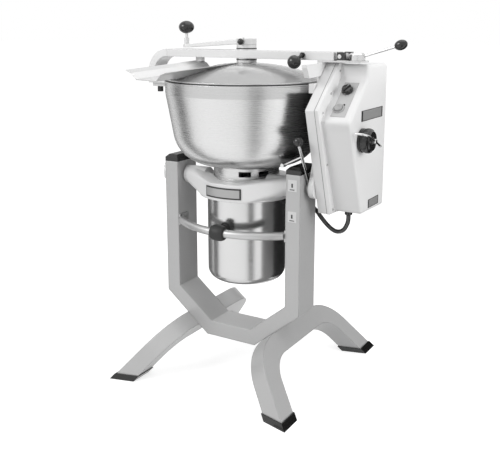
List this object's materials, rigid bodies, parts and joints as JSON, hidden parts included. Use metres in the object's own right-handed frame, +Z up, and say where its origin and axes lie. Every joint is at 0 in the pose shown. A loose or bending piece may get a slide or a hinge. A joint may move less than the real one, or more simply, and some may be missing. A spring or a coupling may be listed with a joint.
{
  "type": "vertical cutter mixer",
  "caption": "Free-standing vertical cutter mixer: a tilting steel bowl with knives and a motor beneath, a clear hinged cover with a crank and a chute, and a side control box.",
  "frame": {"origin": "on the floor, under the middle of the machine's overall box, with the bowl upright and the cover shut", "axes": "+Z up from the floor, +X to the machine's right, where the control box is, +Y from its front to its rear"},
  "size_m": [0.8746, 0.6748, 1.13],
  "materials": {
    "stand_paint": "silver-grey hammer paint on welded steel tube",
    "cast_paint": "silver-grey paint on castings",
    "cast_aluminium": "as cast",
    "stainless": "polished stainless steel",
    "bright_steel": "bright machined steel",
    "core_iron": "varnished laminations",
    "copper": "enamelled copper wire",
    "white_paint": "white powder coat",
    "black_paint": "black paint",
    "plate_aluminium": "satin, bare",
    "black_plastic": "black phenolic",
    "grey_plastic": "pale grey, moulded",
    "black_rubber": "matt",
    "polycarbonate": "clear to milky dome"
  },
  "bodies": {
    "stand": {"yoke": "stand_paint", "post_caps": "black_plastic", "left_foot_arch": "stand_paint", "right_foot_arch": "stand_paint", "foot_pads": "black_plastic", "trunnion_bushes": "bright_steel", "trunnion_cap": "cast_paint", "cap_bolts": "bright_steel", "stop_bar": "bright_steel", "stop_sleeve": "black_rubber"},
    "tilting_bowl": {"cradle": "cast_paint", "cradle_plate": "plate_aluminium", "trunnion_shafts": "bright_steel", "motor_can": "stainless", "motor_stator": "core_iron", "stator_windings": "copper", "lower_end_bell": "cast_aluminium", "upper_end_bell": "cast_aluminium", "motor_bearings": "bright_steel", "bowl_collar": "stainless", "bowl": "stainless", "shaft_seal": "black_rubber", "can_bumper": "black_rubber", "upright": "white_paint", "hinge_bracket": "black_paint", "hinge_pin": "bright_steel", "box_rear_shell": "white_paint", "box_cover": "white_paint", "console_plate": "plate_aluminium", "side_plate": "plate_aluminium", "box_screws": "bright_steel", "pilot_lamp": "bright_steel", "contactor": "black_plastic", "terminal_block": "black_plastic", "conduit": "black_rubber", "conduit_glands": "black_plastic", "latch_keeper": "cast_paint"},
    "knife": {"rotor": "core_iron", "knife_shaft": "bright_steel", "knife_hub": "bright_steel", "knife_blades": "bright_steel", "knife_nut": "bright_steel"},
    "cover": {"cover_bar": "stainless", "hook_arm": "cast_paint", "lid_ring": "stainless", "lid_gasket": "black_rubber", "lid_dome": "polycarbonate", "hub_housing": "bright_steel", "chute": "stainless", "lift_knob": "black_plastic"},
    "crank": {"crank": "bright_steel", "baffle": "bright_steel"},
    "crank_grip": {"crank_knob": "black_plastic"},
    "cover_lock": {"lock_lever": "bright_steel", "lock_knob": "black_plastic"},
    "main_switch": {"rotary_switch": "black_plastic"},
    "timer": {"timer_knob": "black_plastic"},
    "start": {"start_button": "grey_plastic"},
    "plunger": {"latch_plunger": "black_plastic"},
    "tilt_lock": {"tilt_lever": "bright_steel"}
  },
  "joints": [
    {"name": "bowl_tilt", "type": "hinge", "parent": "stand", "child": "tilting_bowl", "pos_m": [-0.0775, -0.061, 0.642], "axis": [1, 0, 0], "range_deg": [0, 72]},
    {"name": "knife_spin", "type": "hinge", "parent": "tilting_bowl", "child": "knife", "pos_m": [-0.0775, -0.0095, 0.7], "axis": [0, 0, 1], "continuous": true},
    {"name": "cover_open", "type": "hinge", "parent": "tilting_bowl", "child": "cover", "pos_m": [0.2505, -0.0095, 1.029], "axis": [0, 1, 0], "range_deg": [0, 80]},
    {"name": "crank_turn", "type": "hinge", "parent": "cover", "child": "crank", "pos_m": [-0.0775, -0.0095, 1.06], "axis": [0, 0, 1], "continuous": true},
    {"name": "crank_grip_spin", "type": "hinge", "parent": "crank", "child": "crank_grip", "pos_m": [-0.3035, -0.0095, 1.11], "axis": [0, 0, 1], "continuous": true},
    {"name": "cover_lock_turn", "type": "hinge", "parent": "tilting_bowl", "child": "cover_lock", "pos_m": [0.2905, -0.0095, 1.028], "axis": [0, 0, 1], "range_deg": [0, 90]},
    {"name": "main_switch_turn", "type": "hinge", "parent": "tilting_bowl", "child": "main_switch", "pos_m": [0.3245, -0.043, 0.795], "axis": [1, 0, 0], "range_deg": [-90, 0]},
    {"name": "timer_turn", "type": "hinge", "parent": "tilting_bowl", "child": "timer", "pos_m": [0.277, -0.04029, 0.93208], "axis": [0, -0.6618, 0.7497], "range_deg": [-270, 0]},
    {"name": "start_press", "type": "slide", "parent": "tilting_bowl", "child": "start", "axis": [0, 0.6618, -0.7497], "range_m": [0, 0.004], "stiffness_N_per_m": 800, "springref_m": -0.001},
    {"name": "plunger_pull", "type": "slide", "parent": "tilting_bowl", "child": "plunger", "axis": [0, 0, -1], "range_m": [0, 0.011], "stiffness_N_per_m": 400, "springref_m": -0.004},
    {"name": "tilt_lock_pull", "type": "hinge", "parent": "tilting_bowl", "child": "tilt_lock", "pos_m": [0.1725, -0.061, 0.642], "axis": [1, 0, 0], "range_deg": [0, 25]}
  ]
}
